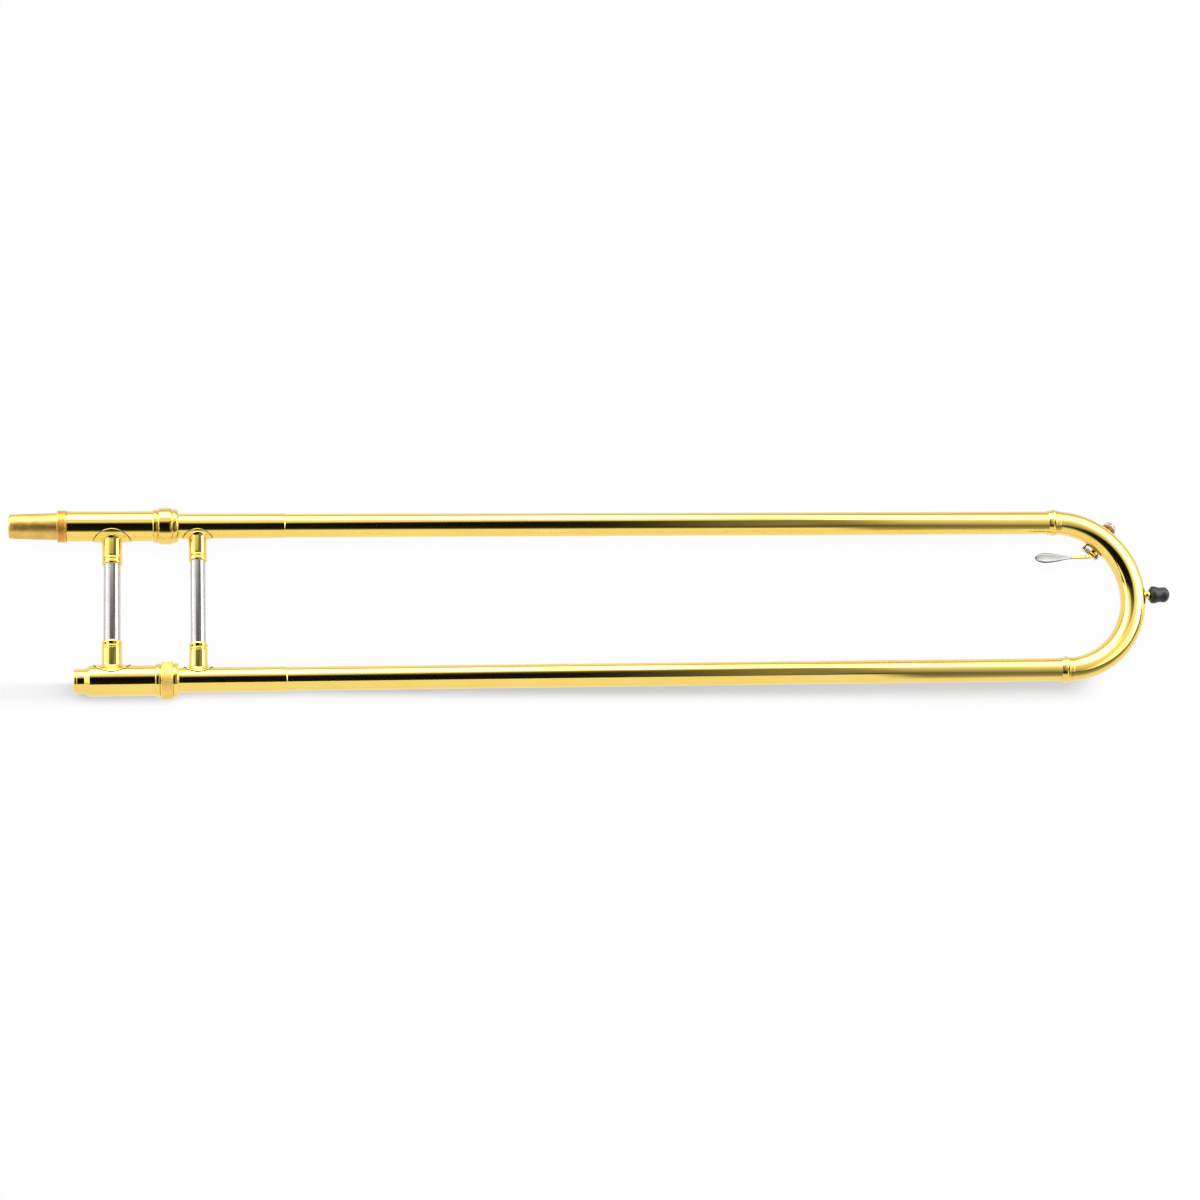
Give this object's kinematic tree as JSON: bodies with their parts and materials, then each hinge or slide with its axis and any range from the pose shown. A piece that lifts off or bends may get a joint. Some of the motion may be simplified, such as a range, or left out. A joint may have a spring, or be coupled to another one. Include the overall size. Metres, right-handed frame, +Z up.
{
  "type": "trombone hand slide",
  "caption": "Long U-shaped brass hand slide: outer tubes, braces and crook glide on inner tubes, with a slide lock ring and a sprung water key.",
  "frame": {"origin": "middle of the slide's footprint, on the surface that its rings rest on when it lies flat", "axes": "+X along the slide from the bell tenon towards the crook and rubber bumper, +Y from the mouthpiece side to the bell side, +Z up; both slide tubes lie at the same height"},
  "size_m": [0.7908, 0.1296, 0.0246],
  "materials": {
    "bell_tenon": "raw, finely turned",
    "tenon_collar": "raw, finely turned",
    "upper_cork_barrel": "polished and lacquered",
    "upper_barrel_ring": "polished and lacquered",
    "lower_cork_barrel": "polished and lacquered",
    "lower_barrel_bead": "polished and lacquered",
    "lock_retaining_collar": "raw, finely turned",
    "mouthpiece_receiver": "polished and lacquered",
    "leadpipe": "raw, finely turned",
    "upper_inner_tube": "chromed, polished",
    "lower_inner_tube": "chromed, polished",
    "upper_barrel_cork": "natural cork",
    "lower_barrel_cork": "natural cork",
    "upper_barrel_felt": "white felt",
    "lower_barrel_felt": "white felt",
    "inner_brace_upper_socket": "polished and lacquered",
    "inner_brace_lower_socket": "polished and lacquered",
    "inner_brace_tube": "polished nickel silver",
    "slide_lock_ring": "satin lacquer over knurling",
    "upper_end_ring": "polished and lacquered",
    "lower_end_ring": "polished and lacquered",
    "upper_outer_tube": "polished and lacquered",
    "lower_outer_tube": "polished and lacquered",
    "upper_grip_sleeve": "polished and lacquered",
    "lower_grip_sleeve": "polished and lacquered",
    "outer_brace_upper_socket": "polished and lacquered",
    "outer_brace_lower_socket": "polished and lacquered",
    "outer_brace_tube": "polished nickel silver",
    "upper_ferrule": "polished and lacquered",
    "lower_ferrule": "polished and lacquered",
    "crook": "polished and lacquered",
    "water_key_nipple": "polished and lacquered",
    "water_key_saddle": "polished and lacquered",
    "water_key_pin": "polished nickel silver",
    "water_key_spring": "polished nickel silver",
    "bumper_stud": "polished and lacquered",
    "rubber_bumper": "soft matt black",
    "water_key_lever": "polished and lacquered",
    "water_key_touch": "polished nickel silver",
    "water_key_cup": "polished nickel silver",
    "water_key_cork": "natural cork"
  },
  "bodies": {
    "inner_slide": {"bell_tenon": "bell_tenon", "tenon_collar": "tenon_collar", "upper_cork_barrel": "upper_cork_barrel", "upper_barrel_ring": "upper_barrel_ring", "lower_cork_barrel": "lower_cork_barrel", "lower_barrel_bead": "lower_barrel_bead", "lock_retaining_collar": "lock_retaining_collar", "mouthpiece_receiver": "mouthpiece_receiver", "leadpipe": "leadpipe", "upper_inner_tube": "upper_inner_tube", "lower_inner_tube": "lower_inner_tube", "upper_barrel_cork": "upper_barrel_cork", "lower_barrel_cork": "lower_barrel_cork", "upper_barrel_felt": "upper_barrel_felt", "lower_barrel_felt": "lower_barrel_felt", "inner_brace_upper_socket": "inner_brace_upper_socket", "inner_brace_lower_socket": "inner_brace_lower_socket", "inner_brace_tube": "inner_brace_tube"},
    "outer_slide": {"upper_end_ring": "upper_end_ring", "lower_end_ring": "lower_end_ring", "upper_outer_tube": "upper_outer_tube", "lower_outer_tube": "lower_outer_tube", "upper_grip_sleeve": "upper_grip_sleeve", "lower_grip_sleeve": "lower_grip_sleeve", "outer_brace_upper_socket": "outer_brace_upper_socket", "outer_brace_lower_socket": "outer_brace_lower_socket", "outer_brace_tube": "outer_brace_tube", "upper_ferrule": "upper_ferrule", "lower_ferrule": "lower_ferrule", "crook": "crook", "water_key_nipple": "water_key_nipple", "water_key_saddle": "water_key_saddle", "water_key_pin": "water_key_pin", "water_key_spring": "water_key_spring", "bumper_stud": "bumper_stud", "rubber_bumper": "rubber_bumper"},
    "lock_ring": {"slide_lock_ring": "slide_lock_ring"},
    "water_key": {"water_key_lever": "water_key_lever", "water_key_touch": "water_key_touch", "water_key_cup": "water_key_cup", "water_key_cork": "water_key_cork"}
  },
  "joints": [
    {"name": "slide_extension", "type": "slide", "parent": "inner_slide", "child": "outer_slide", "axis": [1, 0, 0], "range_m": [0, 0.48]},
    {"name": "lock_ring_turn", "type": "hinge", "parent": "inner_slide", "child": "lock_ring", "pos_m": [-0.2931, -0.0525, 0.0123], "axis": [1, 0, 0], "range_deg": [0, 35]},
    {"name": "water_key_hinge", "type": "hinge", "parent": "outer_slide", "child": "water_key", "pos_m": [0.34337, 0.03141, 0.0078], "axis": [-0.7604, 0.6494, 0], "range_deg": [0, 12], "stiffness_Nm_per_rad": 0.04, "springref_deg": -68.75, "deforming": ["water_key_spring"]}
  ]
}
